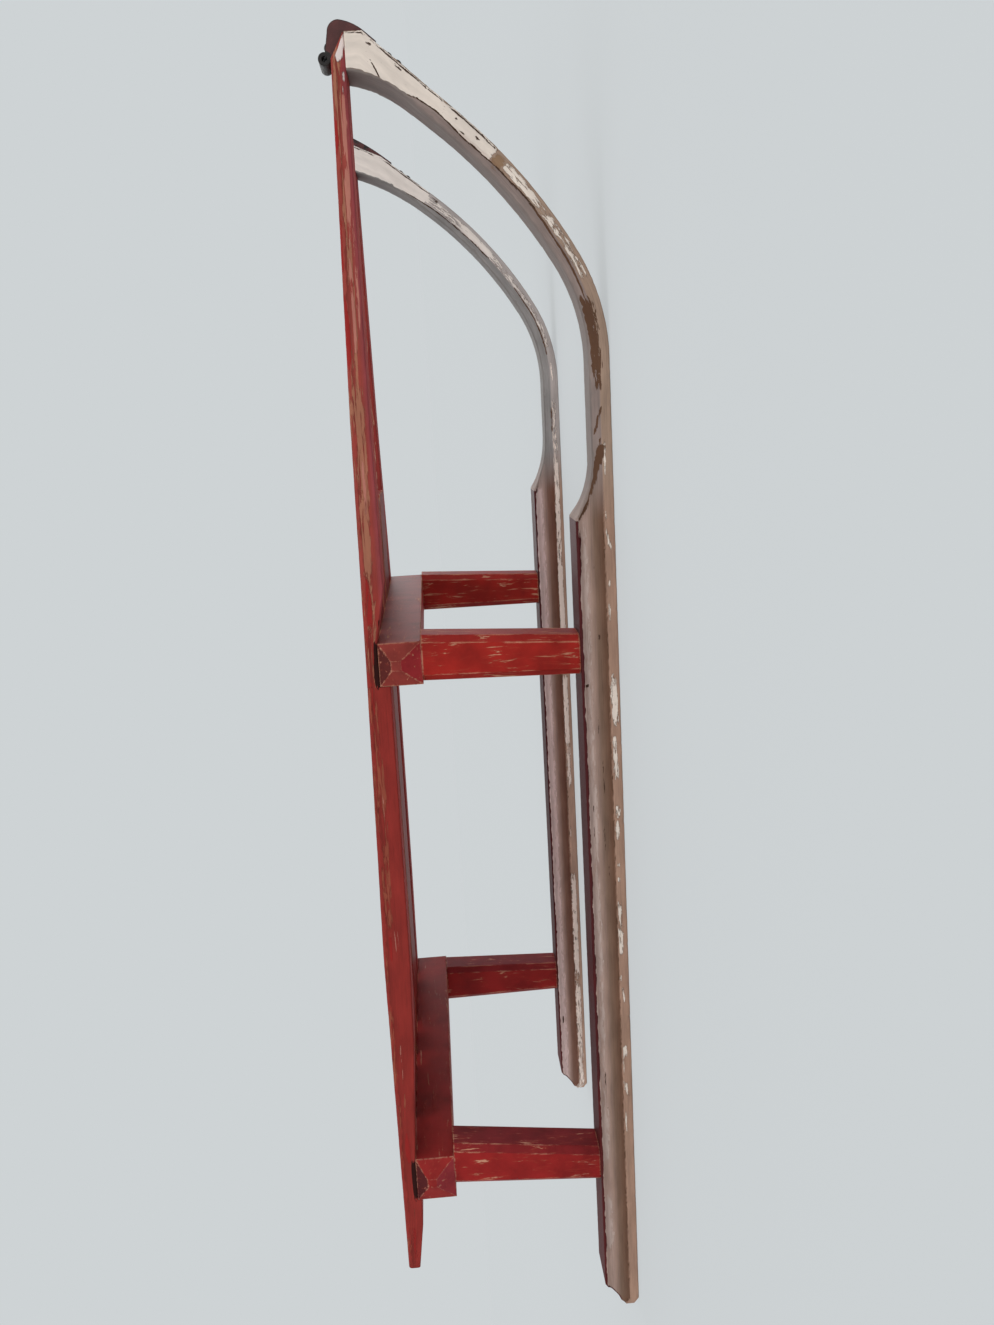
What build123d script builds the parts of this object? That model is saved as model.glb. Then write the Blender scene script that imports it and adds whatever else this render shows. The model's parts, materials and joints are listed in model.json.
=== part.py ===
"""Wooden child's sled with two coved runners, two bridges and a slatted seat.

Row frame, in millimetres: +X forward to the horn tips, +Y left, +Z up, and the
origin on the ground below the middle of the sled. Each solid keeps its place.
A station is a distance forward from the heel.
"""

import math
import os

from build123d import *

os.makedirs("parts", exist_ok=True)

# Overall sizes
OVERALL_LENGTH = 1102.0  # heel to the front of the tip irons
RUNNER_SPACING = 340.0  # centre line to centre line
SEAT_HEIGHT = 194.8  # top of the front beam
SEAT_RISE = 3.5  # from the front beam to the rear one

# Runner section
RUNNER_WIDTH = 42.0
RUNNER_DEPTH = 31.0  # under the seat
HORN_DEPTH = 15.5  # past the shoulder
LIP_HEIGHT = 8.2  # flat strip left below the cove
COVE_CHORD = 20.2
COVE_SAGITTA = 7.0

# Runner heel and shoulder
HEEL_CUT_RUN = 23.0
HEEL_CUT_DROP = 15.0
HEEL_TOE_RUN = 5.0
HEEL_TOE_RISE = 4.0
SHOULDER_SETBACK = 122.0  # behind the start of the nose curve
SHOULDER_RUN = 46.0

# Runner horn: nose arc, easier horn arc, then a straight that flares to its end
NOSE_RADIUS = 155.0
NOSE_SLOPE = 31.0  # degrees, where the nose arc ends
HORN_RADIUS = 400.0
HORN_BUTT = 24.4  # foot of the sawn front end, below the seat
HORN_END_RUN = 25.2  # length of the end under the rail
FLARE_LENGTH = 52.7  # down the straight's inner face, from level with that foot
RUN_OUT_SLOPE = 40.0  # degrees, where the coves leave the sole's curve
RUN_OUT_RADIUS = 260.0
RUN_OUT_END = 80.0  # degrees, past the end of the horn

# Legs
LEG_WIDTH = 36.0
LEG_CHAMFER = 5.5

# Bridges
FRONT_BRIDGE_SETBACK = 107.6  # behind the shoulder
REAR_BRIDGE = 151.2  # station
BEAM_DEPTH = 35.0
POINT_HEIGHT = 7.0  # diamond points on the beam ends
POINT_FLAT = 8.0  # worn flat on each point
POINT_RISE = 3.4  # of the flat, above the middle of the beam
NOTCH_CLEARANCE = 0.5  # along the rail, each side of a beam

# Side rails
RAIL_WIDTH = 38.0
RAIL_ROUND = 4.0
RAIL_OVERHANG = 72.0  # behind the rear beam
RAIL_BEND_AHEAD = 193.6  # of the front beam
RAIL_WAIST_BEHIND = 258.4  # the front beam
RAIL_NOSE_RUN = 16.0  # slope cut on the front end, under the iron
RAIL_NOSE_RISE = 1.0
RAIL_TAIL_RISE = 4.5  # underside lifts to the rear end
RAIL_TAIL_RUN = 45.0
EASE_FRONT = 45.0  # length of the rise to the front beam
EASE_REAR = 120.0  # length of the rise to the rear beam

# Seat slats
SLAT_WIDTH = 86.0
MIDDLE_SLAT_WIDTH = 42.0
SLAT_THICKNESS = 11.0
SLAT_OVERHANG_FRONT = 102.0
SLAT_OVERHANG_REAR = 60.0
SLAT_ROUND = 2.5
SLAT_CORNER = 9.0

# Tip irons, each with a rolled eye for the tow cord and a round rivet head
IRON_WIDTH = 24.0
IRON_BACK = 2.6  # thickness down the horn
IRON_DROP = 10.3  # length down the horn
IRON_NOSE = 10.3  # in front of the rail's end
IRON_SHOULDER = 4.0  # thickness over the top of the nose
EYE_SETBACK = 15.3  # behind the rail's end
EYE_RADIUS = 4.6
EYE_BORE = 2.0
RIVET_SETBACK = 5.2  # behind the rail's end
RIVET_RADIUS = 4.4

# Bridges: length of each beam along X
BRIDGES = [
    {"name": "front", "beam_run": 35.5},
    {"name": "rear", "beam_run": 41.5},
]

# Legs: foot and head, how far each centre lies ahead of the beam's and how long it is along X
LEGS = [
    {"name": "front_right", "side": -1, "foot": -2.6, "foot_run": 33.3, "head": 2.9, "head_run": 38.0},
    {"name": "front_left", "side": 1, "foot": -1.4, "foot_run": 33.0, "head": 2.2, "head_run": 39.5},
    {"name": "rear_right", "side": -1, "foot": -2.9, "foot_run": 33.7, "head": 10.1, "head_run": 40.8},
    {"name": "rear_left", "side": 1, "foot": -0.9, "foot_run": 34.2, "head": 1.0, "head_run": 42.0},
]

# Sides: how far the nose curve starts behind the right one's, the slope of the horn's straight in
# degrees, and how far the rail reaches below and above the seat line, at its tip, bend, front beam,
# waist and rear
SIDES = [
    {
        "name": "right",
        "side": -1,
        "back": 0.0,
        "horn_slope": 49.5,
        "drop": (8.4, 7.0, 8.4, 8.2, 2.0),
        "rise": (2.1, 8.4, 10.4, 14.5, 13.0),
    },
    {
        "name": "left",
        "side": 1,
        "back": 7.0,
        "horn_slope": 52.5,
        "drop": (-6.0, -3.2, 0.5, 0.8, 0.6),
        "rise": (15.0, 16.6, 17.2, 19.0, 14.8),
    },
]

# Stations worked out from the sizes
heel_x = -OVERALL_LENGTH / 2
rail_tip = OVERALL_LENGTH - IRON_NOSE
nose_slope = math.radians(NOSE_SLOPE)
butt_z = SEAT_HEIGHT - HORN_BUTT
for row in SIDES:
    horn_slope = math.radians(row["horn_slope"])
    horn_rise = HORN_RADIUS * (math.cos(nose_slope) - math.cos(horn_slope))
    row["foot_run"] = HORN_RADIUS * (math.sin(horn_slope) - math.sin(nose_slope))
    row["foot_run"] += NOSE_RADIUS * math.sin(nose_slope)
    row["foot_z"] = NOSE_RADIUS * (1 - math.cos(nose_slope)) + horn_rise
    row["straight"] = (butt_z - row["foot_z"]) / math.sin(horn_slope)
right_slope = math.radians(SIDES[0]["horn_slope"])
nose_start = rail_tip - SIDES[0]["foot_run"] - SIDES[0]["straight"] * math.cos(right_slope)
shoulder_start = nose_start - SHOULDER_SETBACK
front_bridge = shoulder_start - FRONT_BRIDGE_SETBACK
seat_slope = SEAT_RISE / (front_bridge - REAR_BRIDGE)
front_face = front_bridge + BRIDGES[0]["beam_run"] / 2
front_back = front_bridge - BRIDGES[0]["beam_run"] / 2
rear_face = REAR_BRIDGE + BRIDGES[1]["beam_run"] / 2
rear_back = REAR_BRIDGE - BRIDGES[1]["beam_run"] / 2
rail_rear = rear_back - RAIL_OVERHANG
bend = front_bridge + RAIL_BEND_AHEAD
waist = front_bridge - RAIL_WAIST_BEHIND
rail_stations = (rail_tip, bend, front_bridge, waist, rail_rear)

# Distances across, from the middle
runner_y = RUNNER_SPACING / 2
beam_half = runner_y + LEG_WIDTH / 2
rail_inner = beam_half - RAIL_WIDTH

# Centres of the arcs of the right runner, and of its coves' path where they run out of the horn
nose_centre = (nose_start, NOSE_RADIUS)
horn_centre = (
    nose_start + (NOSE_RADIUS - HORN_RADIUS) * math.sin(nose_slope),
    NOSE_RADIUS + (HORN_RADIUS - NOSE_RADIUS) * math.cos(nose_slope),
)
cove_radius = (COVE_CHORD**2 / 4 + COVE_SAGITTA**2) / (2 * COVE_SAGITTA)
cove_out = cove_radius - COVE_SAGITTA
cove_height = LIP_HEIGHT + COVE_CHORD / 2
run_out_shift = HORN_RADIUS - cove_height - RUN_OUT_RADIUS
run_out_centre = (
    horn_centre[0] + run_out_shift * math.sin(math.radians(RUN_OUT_SLOPE)),
    horn_centre[1] - run_out_shift * math.cos(math.radians(RUN_OUT_SLOPE)),
)


def put(x, z):
    """Point of the side view, from a station and a height."""
    return (heel_x + x, z)


def on_arc(centre, radius, degrees):
    """Point on an arc under its centre, by the slope there in degrees."""
    angle = math.radians(degrees)
    return put(centre[0] + radius * math.sin(angle), centre[1] - radius * math.cos(angle))


def seat_at(x):
    """Height of the seat line, over the tops of both beams."""
    return SEAT_HEIGHT + (front_bridge - x) * seat_slope


def along_rail(x, values):
    """Value at a station, from the values at the rail stations."""
    spans = list(zip(rail_stations, rail_stations[1:], values, values[1:]))
    ahead, behind, first, second = next((span for span in spans if x >= span[1]), spans[-1])
    return second + (first - second) * (x - behind) / (ahead - behind)


def under_at(x, row):
    """Height of a rail's underside."""
    return seat_at(x) - along_rail(x, row["drop"])


def top_at(x, row):
    """Height of a rail's top."""
    return seat_at(x) + along_rail(x, row["rise"])


def moved(centre, row):
    """Centre of an arc on one side of the sled."""
    return (centre[0] - row["back"], centre[1])


def up_horn(distance, depth, row):
    """Point up the horn's straight from its foot, at a depth from its front face."""
    foot_x = nose_start - row["back"] + row["foot_run"]
    slope = math.radians(row["horn_slope"])
    return put(
        foot_x + distance * math.cos(slope) - depth * math.sin(slope),
        row["foot_z"] + distance * math.sin(slope) + depth * math.cos(slope),
    )


pieces = []

for row in SIDES:
    side = row["side"]
    horn_slope = math.radians(row["horn_slope"])
    side_nose = moved(nose_centre, row)
    side_horn = moved(horn_centre, row)
    shoulder = shoulder_start - row["back"]

    with BuildPart() as runner:
        # Side outline: sole, nose, horn, its end under the rail, shoulder, deck and heel
        with BuildSketch(Plane.XZ.offset(-side * runner_y)):
            with BuildLine():
                middle_slope = (NOSE_SLOPE + row["horn_slope"]) / 2
                inner_nose = NOSE_RADIUS - HORN_DEPTH
                inner_horn = HORN_RADIUS - HORN_DEPTH
                end_back = rail_tip - HORN_END_RUN
                flare_start = row["straight"] - FLARE_LENGTH
                Line(put(HEEL_TOE_RUN, 0), put(side_nose[0], 0))
                ThreePointArc(
                    put(side_nose[0], 0),
                    on_arc(side_nose, NOSE_RADIUS, NOSE_SLOPE / 2),
                    on_arc(side_nose, NOSE_RADIUS, NOSE_SLOPE),
                )
                ThreePointArc(
                    on_arc(side_horn, HORN_RADIUS, NOSE_SLOPE),
                    on_arc(side_horn, HORN_RADIUS, middle_slope),
                    up_horn(0, 0, row),
                )
                Polyline(
                    up_horn(0, 0, row),
                    up_horn(row["straight"], 0, row),
                    put(rail_tip, under_at(rail_tip, row)),
                    put(end_back, under_at(end_back, row)),
                )
                TangentArc(
                    up_horn(flare_start, HORN_DEPTH, row),
                    put(end_back, under_at(end_back, row)),
                    tangent=(math.cos(horn_slope), math.sin(horn_slope)),
                )
                Line(up_horn(flare_start, HORN_DEPTH, row), up_horn(0, HORN_DEPTH, row))
                ThreePointArc(
                    up_horn(0, HORN_DEPTH, row),
                    on_arc(side_horn, inner_horn, middle_slope),
                    on_arc(side_horn, inner_horn, NOSE_SLOPE),
                )
                ThreePointArc(
                    on_arc(side_nose, inner_nose, NOSE_SLOPE),
                    on_arc(side_nose, inner_nose, NOSE_SLOPE / 2),
                    put(side_nose[0], HORN_DEPTH),
                )
                Line(put(side_nose[0], HORN_DEPTH), put(shoulder + SHOULDER_RUN, HORN_DEPTH))
                TangentArc(
                    put(shoulder + SHOULDER_RUN, HORN_DEPTH),
                    put(shoulder, RUNNER_DEPTH),
                    tangent=(-1, 0),
                )
                Polyline(
                    put(shoulder, RUNNER_DEPTH),
                    put(HEEL_CUT_RUN, RUNNER_DEPTH),
                    put(0, RUNNER_DEPTH - HEEL_CUT_DROP),
                    put(0, HEEL_TOE_RISE),
                    put(HEEL_TOE_RUN, 0),
                )
            make_face()
        extrude(amount=RUNNER_WIDTH / 2, both=True)

        # Both side coves follow the sole, then climb out of it up the horn
        for face in (-1, 1):
            cove_y = side * runner_y + face * (RUNNER_WIDTH / 2 + cove_out)
            with BuildSketch(Plane.YZ.offset(heel_x - cove_radius)):
                with Locations((cove_y, cove_height)):
                    Circle(cove_radius)
            extrude(amount=side_nose[0] + cove_radius, mode=Mode.SUBTRACT)
            for centre, radius, start, end in (
                (side_nose, NOSE_RADIUS - cove_height, 0, NOSE_SLOPE),
                (side_horn, HORN_RADIUS - cove_height, NOSE_SLOPE, RUN_OUT_SLOPE),
                (moved(run_out_centre, row), RUN_OUT_RADIUS, RUN_OUT_SLOPE, RUN_OUT_END),
            ):
                path_x, path_z = on_arc(centre, radius, start)
                slope = math.radians(start)
                section = Plane(
                    origin=(path_x, cove_y, path_z),
                    x_dir=(0, 1, 0),
                    z_dir=(math.cos(slope), 0, math.sin(slope)),
                )
                with BuildSketch(section):
                    Circle(cove_radius)
                revolve(
                    axis=Axis((heel_x + centre[0], 0, centre[1]), (0, -1, 0)),
                    revolution_arc=end - start,
                    mode=Mode.SUBTRACT,
                )
    runner.part.label = "runner_" + row["name"]
    pieces.append(runner.part)

    with BuildPart() as rail:
        # Side outline, notched over the beams, with both top edges rounded
        ease_front = front_face + NOTCH_CLEARANCE + EASE_FRONT
        ease_rear = rear_face + NOTCH_CLEARANCE + EASE_REAR
        tail = rail_rear + RAIL_TAIL_RUN
        nose_back = rail_tip - RAIL_NOSE_RUN
        with BuildSketch(Plane.XZ.offset(-side * (rail_inner + RAIL_WIDTH / 2))):
            with BuildLine():
                outline = [(rail_tip, under_at(rail_tip, row)), (bend, under_at(bend, row))]
                outline.append((ease_front, under_at(ease_front, row)))
                for face_x, back_x in ((front_face, front_back), (rear_face, rear_back)):
                    notch_face = face_x + NOTCH_CLEARANCE
                    notch_back = back_x - NOTCH_CLEARANCE
                    outline.append((notch_face, seat_at(notch_face)))
                    outline.append((notch_back, seat_at(notch_back)))
                    outline.append((notch_back, under_at(notch_back, row)))
                    if back_x == front_back:
                        outline.append((waist, under_at(waist, row)))
                        outline.append((ease_rear, under_at(ease_rear, row)))
                outline.append((tail, under_at(tail, row)))
                outline.append((rail_rear, under_at(rail_rear, row) + RAIL_TAIL_RISE))
                for x in (rail_rear, waist, front_bridge, bend, nose_back):
                    outline.append((x, top_at(x, row)))
                outline.append((rail_tip, under_at(rail_tip, row) + RAIL_NOSE_RISE))
                Polyline(*[put(x, z) for x, z in outline], close=True)
            make_face()
        extrude(amount=RAIL_WIDTH / 2, both=True)
        top_faces = rail.faces().filter_by(lambda face: face.normal_at().Z > 0.9)
        long_edges = top_faces.edges().filter_by(lambda edge: edge.length > EASE_REAR)
        fillet(long_edges, RAIL_ROUND)
    rail.part.label = "side_rail_" + row["name"]
    pieces.append(rail.part)

for bridge, beam_x in zip(BRIDGES, (front_bridge, REAR_BRIDGE)):
    beam_top = seat_at(beam_x)
    beam_bottom = beam_top - BEAM_DEPTH
    beam_front = beam_x + bridge["beam_run"] / 2
    beam_rear = beam_x - bridge["beam_run"] / 2

    section = [(beam_rear, beam_bottom), (beam_front, beam_bottom)]
    section += [(beam_front, seat_at(beam_front)), (beam_rear, seat_at(beam_rear))]

    with BuildPart() as beam:
        # Squared beam, topped to the seat line, with a diamond point cut on each end
        with BuildSketch(Plane.XZ.offset(-beam_half)):
            Polygon(*[put(x, z) for x, z in section], align=None)
        extrude(amount=2 * beam_half)
        for end in (-1, 1):
            with BuildSketch(Plane.XZ.offset(end * beam_half)):
                Polygon(*[put(x, z) for x, z in section], align=None)
            with BuildSketch(Plane.XZ.offset(end * (beam_half + POINT_HEIGHT))):
                with Locations(put(beam_x, (beam_bottom + beam_top) / 2 + POINT_RISE)):
                    Rectangle(POINT_FLAT, POINT_FLAT)
            loft()
    beam.part.label = "bridge_beam_" + bridge["name"]
    pieces.append(beam.part)

    for row in (leg_row for leg_row in LEGS if leg_row["name"].startswith(bridge["name"])):
        with BuildPart() as leg:
            for height, shift, run in (
                (RUNNER_DEPTH, row["foot"], row["foot_run"]),
                (beam_bottom, row["head"], row["head_run"]),
            ):
                with BuildSketch(Plane.XY.offset(height)):
                    with Locations((heel_x + beam_x + shift, row["side"] * runner_y)):
                        leg_face = Rectangle(run, LEG_WIDTH)
                    chamfer(leg_face.vertices(), length=LEG_CHAMFER)
            loft()
        leg.part.label = "leg_" + row["name"]
        pieces.append(leg.part)

# Slats lie on the beams, along the seat line, with even gaps between the rails
slat_front = front_face + SLAT_OVERHANG_FRONT
slat_rear = rear_back - SLAT_OVERHANG_REAR
slat_middle = (slat_front + slat_rear) / 2
slat_gap = (rail_inner - SLAT_WIDTH - MIDDLE_SLAT_WIDTH / 2) / 2
outer_slat_y = rail_inner - slat_gap - SLAT_WIDTH / 2
for name, slat_y, width in (
    ("slat_right", -outer_slat_y, SLAT_WIDTH),
    ("slat_middle", 0, MIDDLE_SLAT_WIDTH),
    ("slat_left", outer_slat_y, SLAT_WIDTH),
):
    with BuildPart() as slat:
        seat_plane = Plane(
            origin=(heel_x + slat_middle, slat_y, seat_at(slat_middle)),
            x_dir=(1, 0, -seat_slope),
            z_dir=(seat_slope, 0, 1),
        )
        with BuildSketch(seat_plane):
            RectangleRounded(slat_front - slat_rear, width, SLAT_CORNER)
        extrude(amount=SLAT_THICKNESS)
        fillet(slat.faces().sort_by(Axis.Z)[-1].edges(), SLAT_ROUND)
    slat.part.label = name
    pieces.append(slat.part)

for row in SIDES:
    horn_slope = math.radians(row["horn_slope"])
    nose_back = rail_tip - RAIL_NOSE_RUN
    end_z = under_at(rail_tip, row)
    eye_x = rail_tip - EYE_SETBACK
    eye_z = top_at(eye_x - EYE_RADIUS, row) + EYE_RADIUS
    crest = put(rail_tip + IRON_SHOULDER / 2, top_at(rail_tip, row) + IRON_SHOULDER / 2)
    nose_tip = put(OVERALL_LENGTH, end_z + IRON_SHOULDER)
    butt_up = row["straight"]
    with BuildPart() as iron:
        # Strap from the horn's front, round the nose and back to a rolled eye
        with BuildSketch(Plane.XZ.offset(-row["side"] * runner_y)):
            with BuildLine():
                Polyline(
                    up_horn(butt_up, -IRON_BACK, row),
                    up_horn(butt_up - IRON_DROP, -IRON_BACK, row),
                    up_horn(butt_up - IRON_DROP, 0, row),
                    up_horn(butt_up, 0, row),
                    put(rail_tip, end_z),
                    put(rail_tip, end_z + RAIL_NOSE_RISE),
                    put(nose_back, top_at(nose_back, row)),
                    put(eye_x - EYE_RADIUS / 2, top_at(eye_x - EYE_RADIUS / 2, row)),
                    put(eye_x, eye_z),
                    crest,
                )
                TangentArc(
                    up_horn(butt_up, -IRON_BACK, row),
                    nose_tip,
                    tangent=(math.cos(horn_slope), math.sin(horn_slope)),
                )
                TangentArc(nose_tip, crest, tangent=(0, 1))
            make_face()
            with Locations(put(eye_x, eye_z)):
                Circle(EYE_RADIUS)
        extrude(amount=IRON_WIDTH / 2, both=True)
        with BuildSketch(Plane.XZ.offset(-row["side"] * runner_y)):
            with Locations(put(eye_x, eye_z)):
                Circle(EYE_BORE)
        extrude(amount=IRON_WIDTH, both=True, mode=Mode.SUBTRACT)

        # Domed rivet head, let into the strap
        rivet_x = rail_tip - RIVET_SETBACK
        rivet_foot = top_at(rivet_x, row) + RAIL_NOSE_RISE
        with BuildSketch(Plane.XZ.offset(-row["side"] * runner_y)):
            with BuildLine():
                head_edge = put(rivet_x + RIVET_RADIUS, rivet_foot)
                head_top = put(rivet_x, rivet_foot + RIVET_RADIUS)
                TangentArc(head_edge, head_top, tangent=(0, 1))
                Polyline(head_top, put(rivet_x, rivet_foot), head_edge)
            make_face()
        revolve(axis=Axis((heel_x + rivet_x, row["side"] * runner_y, 0), (0, 0, 1)))
    iron.part.label = "tip_iron_" + row["name"]
    pieces.append(iron.part)

for piece in pieces:
    export_step(piece, "parts/" + piece.label + ".step")
    box = piece.bounding_box()
    print(piece.label, round(piece.volume), box.min, box.max, len(piece.solids()))
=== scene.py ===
"""Old wooden child's sled: coved runners, two bridges, seat rails and slats under worn oil paint.

Metres, with +X forward to the horn tips, +Y left, +Z up and the ground under the soles.
The sizes below are in millimetres, and a station is a distance forward from the heel.
"""

import json
import math

import bmesh
import bpy
import numpy as np
from bpy.props import FloatProperty, FloatVectorProperty, PointerProperty
from mathutils import Matrix, Vector


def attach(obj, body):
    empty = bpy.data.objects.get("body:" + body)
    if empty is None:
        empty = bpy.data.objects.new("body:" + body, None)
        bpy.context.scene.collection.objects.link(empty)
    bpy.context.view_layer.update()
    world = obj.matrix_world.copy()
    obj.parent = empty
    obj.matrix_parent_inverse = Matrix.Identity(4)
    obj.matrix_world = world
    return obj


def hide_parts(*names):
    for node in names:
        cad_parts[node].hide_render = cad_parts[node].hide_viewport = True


bl_info = {
    "name": "Wooden child's sled",
    "version": (1, 0, 0),
    "blender": (4, 5, 0),
    "location": "3D View > Sidebar > Sled",
    "description": "Worn paint, bare wood and forged iron for a wooden child's sled",
    "category": "Object",
}

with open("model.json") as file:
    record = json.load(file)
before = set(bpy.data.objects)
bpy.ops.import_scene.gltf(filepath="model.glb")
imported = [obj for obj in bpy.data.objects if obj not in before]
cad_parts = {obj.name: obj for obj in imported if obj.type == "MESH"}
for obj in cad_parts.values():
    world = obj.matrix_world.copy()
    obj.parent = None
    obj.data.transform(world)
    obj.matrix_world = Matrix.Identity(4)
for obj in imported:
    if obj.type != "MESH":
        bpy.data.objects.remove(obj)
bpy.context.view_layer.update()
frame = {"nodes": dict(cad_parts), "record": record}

MM = 0.001
RNG_SEED = 11
# Wavelengths of the slow random runs along a piece
WAVES = {
    "runner_arris": (9, 17, 41, 130),
    "runner_dents": (7, 23, 61, 90),
    "deck_edge": (19, 45, 90),
    "deck_tone": (60, 130),
    "rail_arris": (11, 29, 83, 190),
    "rail_tone": (60, 140, 330),
    "rail_top": (47, 110, 270),
}

# Runners, as in the solids
HEEL = -551.0  # the heel's place along X
RUNNER_Y = 170.0
RUNNER_HALF = 21.0  # half the width
DEPTH = 31.0
HORN_DEPTH = 15.5
SOLE_EASE_RUN = 5.0  # the sole's rise at the heel
SOLE_EASE_RISE = 4.0
HEEL_CUT_RUN = 23.0  # the heel is sawn from this foot up to the deck
HEEL_CUT_FOOT = 16.0
SHOULDER = 736.06  # the deck's end, where a hollow goes down to the horn
NOSE_START = 858.06
NOSE_RADIUS = 155.0
NOSE_TURN = math.radians(31.0)
HORN_RADIUS = 400.0
TIP = 1091.7
BUTT = 170.4  # height of the front corner of the horn's sawn end
FLARE = 52.7  # length of the horn's wider end
END_RUN = 25.2  # length of that end under the rail
STEPS = {"sole": 520, "nose": 50, "bend": 75, "horn": 14, "flare": 54}

# Coves along both sides of a runner
COVE_RADIUS = 10.786
COVE_SINK = 7.0
COVE_HEIGHT = 18.3  # its middle line over the sole
COVE_FOOT = 8.2  # its lower edge over the sole
COVE_MOUTH = 20.2
RUN_OUT_RADIUS = 260.0
RUN_OUT_TURN = math.radians(40.0)

# Seat rails
SEAT_FRONT = 194.8  # height of the seat line at the front bridge
SEAT_SLOPE = 3.5 / 477.26
FRONT_BRIDGE = 628.46
RAIL_Y = 169.0
RAIL_HALF = 19.0
RAIL_STATIONS = (58.45, 370.06, FRONT_BRIDGE, 822.06, TIP)
RAIL_STEPS = 640
TIP_EASE = 16.0  # the run over which the top comes down to a thin end
TIP_THICK = 1.0
# Stations of the underside, and how far it lies above its line. None puts it on the seat line, over a beam, and two
# stations close together are a notch's wall.
RAIL_UNDERSIDE = (
    (58.45, 4.5), (103.45, 0), (129.94, 0), (129.95, None), (172.45, None), (172.46, None), (292.45, 0), (370.06, 0),
    (610.21, 0), (610.22, None), (646.71, None), (646.72, None), (691.7, 0), (822.06, 0), (TIP, 0),
)

# For each side: the sign of Y, how far the runner stands back, the horn's slope, the hollow's run, the paint left on
# the iron, and how far the rail's underside lies below the seat line and its top above it
SIDES = {
    "right": {
        "side": -1, "back": 0.0, "turn": math.radians(49.5), "shoulder_run": 46.0, "iron_paint": 0.5,
        "drop": (2.0, 8.2, 8.4, 7.0, 8.4), "rise": (13.0, 14.5, 10.4, 8.4, 2.1),
    },
    "left": {
        "side": 1, "back": 7.0, "turn": math.radians(52.5), "shoulder_run": 58.0, "iron_paint": 0.1,
        "drop": (0.6, 0.8, 0.5, -3.2, -6.0), "rise": (14.8, 19.0, 17.2, 16.6, 15.0),
    },
}

# Half sections of a bar: points across the flats and up the side, and an arris's largest share of the depth
FLAT_STEPS = 7
SIDE_STEPS = 30
ARRIS_SHARE = 0.3
RUNNER_ARRIS_LIMITS = (0.4, 4)
RAIL_ARRIS = (1.2, 3.4)  # usual radius below and above
RAIL_ARRIS_LIMITS = (0.4, 5)
# The strip map's width for half a flat, and its shift for the -Y half
FLAT_WIDTH = 18.0
HALF_SHIFT = 80.0

# Nail heads on each horn's front: the distance down from its end, and the place across
NAILS = ((24.2, -17.5), (32.7, -18.5), (28.7, 12.0))
NAIL_DOME = 1.6
NAIL_SUNK = 0.45
NAIL_RINGS = 7
NAIL_SIDES = 16

# A coat covers where its reach plus a ragged noise passes a half. Its rim, a painted shadow along the coat's broken
# edge, shows just before that.
COVERED = {"From Min": 0.46, "From Max": 0.56}
RIMMED = {"From Min": 0.36, "From Max": 0.46}
TINT = {"data_type": "RGBA", "blend_type": "MULTIPLY"}

# Sizes of the patterns' features, in millimetres
PATCH_MM = (38.462, 8.3333)  # patches of tone on coated wood, along and across
BLOTCH_MM = 29.412  # clouds in the red paint of the solids
PIT_MM = 2.381  # pits in iron
RUST_MM = 9.0909  # clouds in the iron's paint
EYE_EDGE = (4.8, 6.2)  # radii between which the paint on an iron's side ends round its eye

# Runner paint shared by both sides: where the straight sole ends for turning the marks round, the brown line inside
# the lip, which is painted shade on the lip's upper arris, and the tones of bare brown wood, of the red deck by its
# own uneven run, darkened as painted shade, and of the dark chips
STRAIGHT_END = 720
LIP_SHADE_LINE = [(0, 8.7), (728, 8.7)]
BROWN_TONES = [(1000, "#5a4030"), (1022, "#8c7058")]
DECK_SHADED_REDS = [(150, "#4e1212"), (300, "#451315")]
CHIP_TONES = [(0, "#48352a")]

# Colours of the blots on the rails; the dark blots just over the beams are painted shadow
RAIL_MARKS = {"bright": "#901f1b", "pink": "#b07062", "dark": "#2c0e0b", "white": "#dccdc8"}


def linear(code):
    """Linear colour of an sRGB hex code: the sRGB curve undone for each channel."""
    values = [int(code[k : k + 2], 16) / 255 for k in (1, 3, 5)]
    return tuple(v / 12.92 if v <= 0.04045 else ((v + 0.055) / 1.055) ** 2.4 for v in values) + (1.0,)


class SledSizes(bpy.types.PropertyGroup):
    """Sizes of the wear and of the small fixings."""

    arris: FloatProperty(name="Arris", description="Usual radius of a worn edge", default=1.1 * MM, unit="LENGTH")
    dent: FloatProperty(name="Dents", description="Deepest dent in an edge", default=2.0 * MM, unit="LENGTH")
    nail: FloatProperty(name="Nail head", description="Radius of a nail head", default=2.6 * MM, unit="LENGTH")
    lens: FloatProperty(
        name="Lens", description="Focal length on a 24 mm high frame", default=19.925, unit="CAMERA")


class SledColours(bpy.types.PropertyGroup):
    """Main colours of the finishes."""

    red: FloatVectorProperty(
        name="Red paint", description="Seat rails", subtype="COLOR", default=linear("#8f2f28")[:3])
    cream: FloatVectorProperty(
        name="Cream paint", description="Flakes on the runners", subtype="COLOR", default=linear("#e2d3c4")[:3])
    iron: FloatVectorProperty(
        name="Brown iron", description="Paint on the tip irons", subtype="COLOR", default=linear("#4e2826")[:3])
    backdrop: FloatVectorProperty(
        name="Backdrop", description="Pale studio floor", subtype="COLOR", default=linear("#ced3d5")[:3])


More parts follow.
